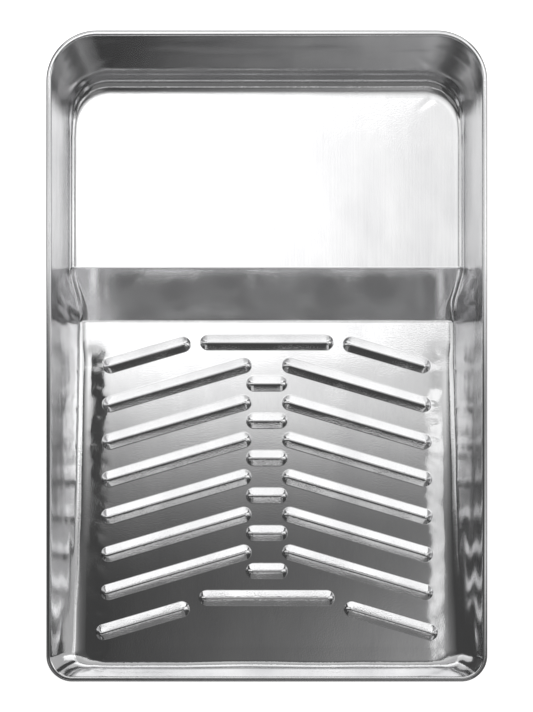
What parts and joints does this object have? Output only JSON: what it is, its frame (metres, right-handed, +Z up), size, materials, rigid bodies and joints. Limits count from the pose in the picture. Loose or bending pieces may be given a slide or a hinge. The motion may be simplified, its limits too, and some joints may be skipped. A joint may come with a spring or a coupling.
{
  "type": "paint roller tray",
  "caption": "Open plated-steel roller tray with a deep flat well, a steep step, a ridged sloping ramp, a rolled rim and hooked legs under the shallow end.",
  "frame": {"origin": "centre of the footprint, on the surface the tray stands on", "axes": "+Z up, +Y along the tray towards its deep well, +X across it; seen from the shallow end looking towards the well, +X is on the right"},
  "size_m": [0.2794, 0.4124, 0.076],
  "materials": {
    "plated_sheet": "polished",
    "leg_strip": "satin"
  },
  "bodies": {
    "root": {"tray_pan": "plated_sheet", "left_leg": "leg_strip", "right_leg": "leg_strip"}
  },
  "joints": []
}
